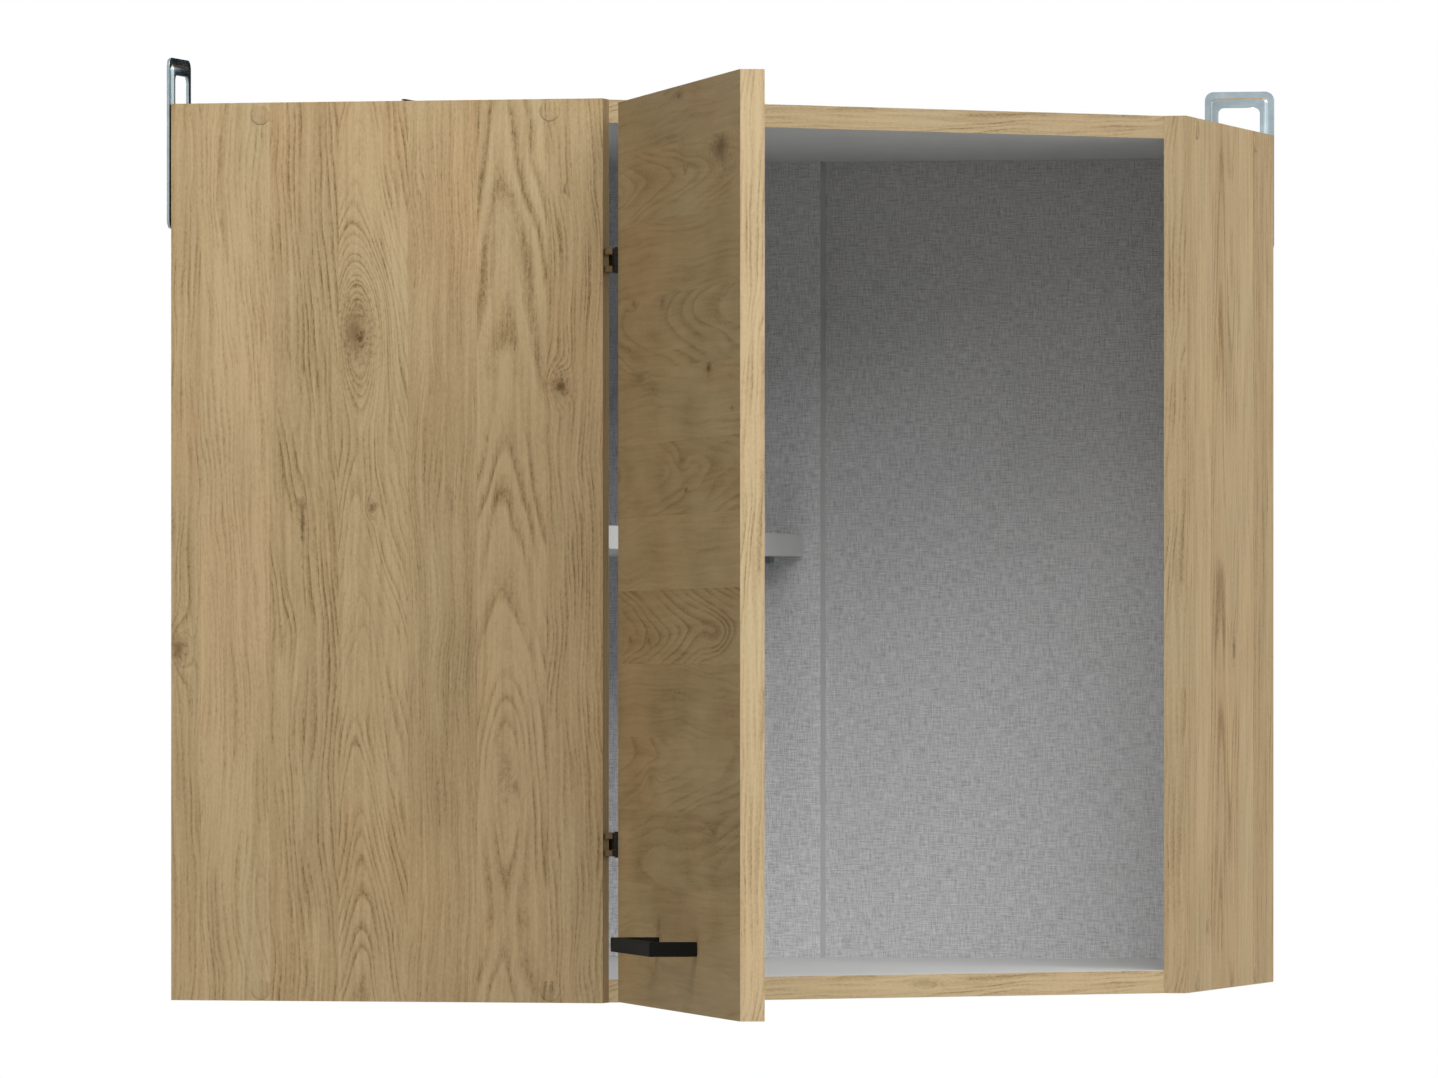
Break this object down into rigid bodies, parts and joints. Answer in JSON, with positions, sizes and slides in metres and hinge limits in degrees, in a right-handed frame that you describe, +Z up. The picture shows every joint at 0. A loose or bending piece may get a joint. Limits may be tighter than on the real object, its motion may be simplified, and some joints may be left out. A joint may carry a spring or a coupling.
{
  "type": "corner wall cabinet",
  "caption": "Corner wall cabinet with a diagonal front, one side-hung door with a black bar handle, a half-width shelf, hardboard backs and steel hangers that hook on the wall.",
  "frame": {"origin": "the room corner where the two walls meet, at the level of the cabinet's underside", "axes": "+Z up; +X along the right wall away from the corner; -Y along the left wall away from the corner, so the left wall is the plane X = 0 and the right wall is the plane Y = 0"},
  "size_m": [0.603, 0.9816, 0.606],
  "materials": {
    "oak_board": "coated board with oak grain, white inside",
    "white_board": "white coated board",
    "hardboard": "thin hardboard, white with a linen grain inside, brown outside",
    "zinc_steel": "bright zinc plated steel",
    "hinge_steel": "black nickel plated steel",
    "black_metal": "matte black powder coat",
    "clear_bumper": "soft translucent bumper"
  },
  "bodies": {
    "cabinet": {"bottom_panel": "oak_board", "hanger_left_front": "zinc_steel", "hanger_left_front_screw_lower": "zinc_steel", "hanger_left_front_screw_upper": "zinc_steel", "hanger_left_rear": "zinc_steel", "hanger_left_rear_screw_lower": "zinc_steel", "hanger_left_rear_screw_upper": "zinc_steel", "hanger_right": "zinc_steel", "hanger_right_screw_lower": "zinc_steel", "hanger_right_screw_upper": "zinc_steel", "hinge_arm_lower": "hinge_steel", "hinge_arm_screw_lower": "hinge_steel", "hinge_arm_screw_upper": "hinge_steel", "hinge_arm_upper": "hinge_steel", "hinge_pin_lower": "hinge_steel", "hinge_pin_upper": "hinge_steel", "hinge_plate_lower": "hinge_steel", "hinge_plate_screw_lower_high": "hinge_steel", "hinge_plate_screw_lower_low": "hinge_steel", "hinge_plate_screw_upper_high": "hinge_steel", "hinge_plate_screw_upper_low": "hinge_steel", "hinge_plate_upper": "hinge_steel", "inner_bottom_screw_front": "zinc_steel", "inner_bottom_screw_rear": "zinc_steel", "inner_top_screw_front": "zinc_steel", "inner_top_screw_rear": "zinc_steel", "left_back_board": "hardboard", "left_bottom_screw_front": "zinc_steel", "left_bottom_screw_rear": "zinc_steel", "left_side_panel": "oak_board", "left_top_screw_front": "zinc_steel", "left_top_screw_rear": "zinc_steel", "rear_side_panel": "white_board", "right_back_board": "hardboard", "right_bottom_screw_front": "zinc_steel", "right_bottom_screw_rear": "zinc_steel", "right_side_panel": "oak_board", "right_top_screw_front": "zinc_steel", "right_top_screw_rear": "zinc_steel", "shelf_pin_left_front": "zinc_steel", "shelf_pin_left_rear": "zinc_steel", "shelf_pin_right_front": "zinc_steel", "shelf_pin_right_rear": "zinc_steel", "top_panel": "oak_board"},
    "door": {"cup_screw_lower_high": "hinge_steel", "cup_screw_lower_low": "hinge_steel", "cup_screw_upper_high": "hinge_steel", "cup_screw_upper_low": "hinge_steel", "door_bumper_bottom": "clear_bumper", "door_bumper_top": "clear_bumper", "door_panel": "oak_board", "handle": "black_metal", "handle_screw_inner": "zinc_steel", "handle_screw_outer": "zinc_steel", "hinge_cup_lower": "hinge_steel", "hinge_cup_upper": "hinge_steel", "hinge_wing_lower": "hinge_steel", "hinge_wing_upper": "hinge_steel"},
    "shelf": {"shelf": "white_board"}
  },
  "joints": [
    {"name": "door_swing", "type": "hinge", "parent": "cabinet", "child": "door", "pos_m": [0.2965, -0.5979, 0], "axis": [0, 0, 1], "range_deg": [0, 110]},
    {"name": "shelf_lift", "type": "slide", "parent": "cabinet", "child": "shelf", "axis": [0, 0, 1], "range_m": [0, 0.12]}
  ]
}
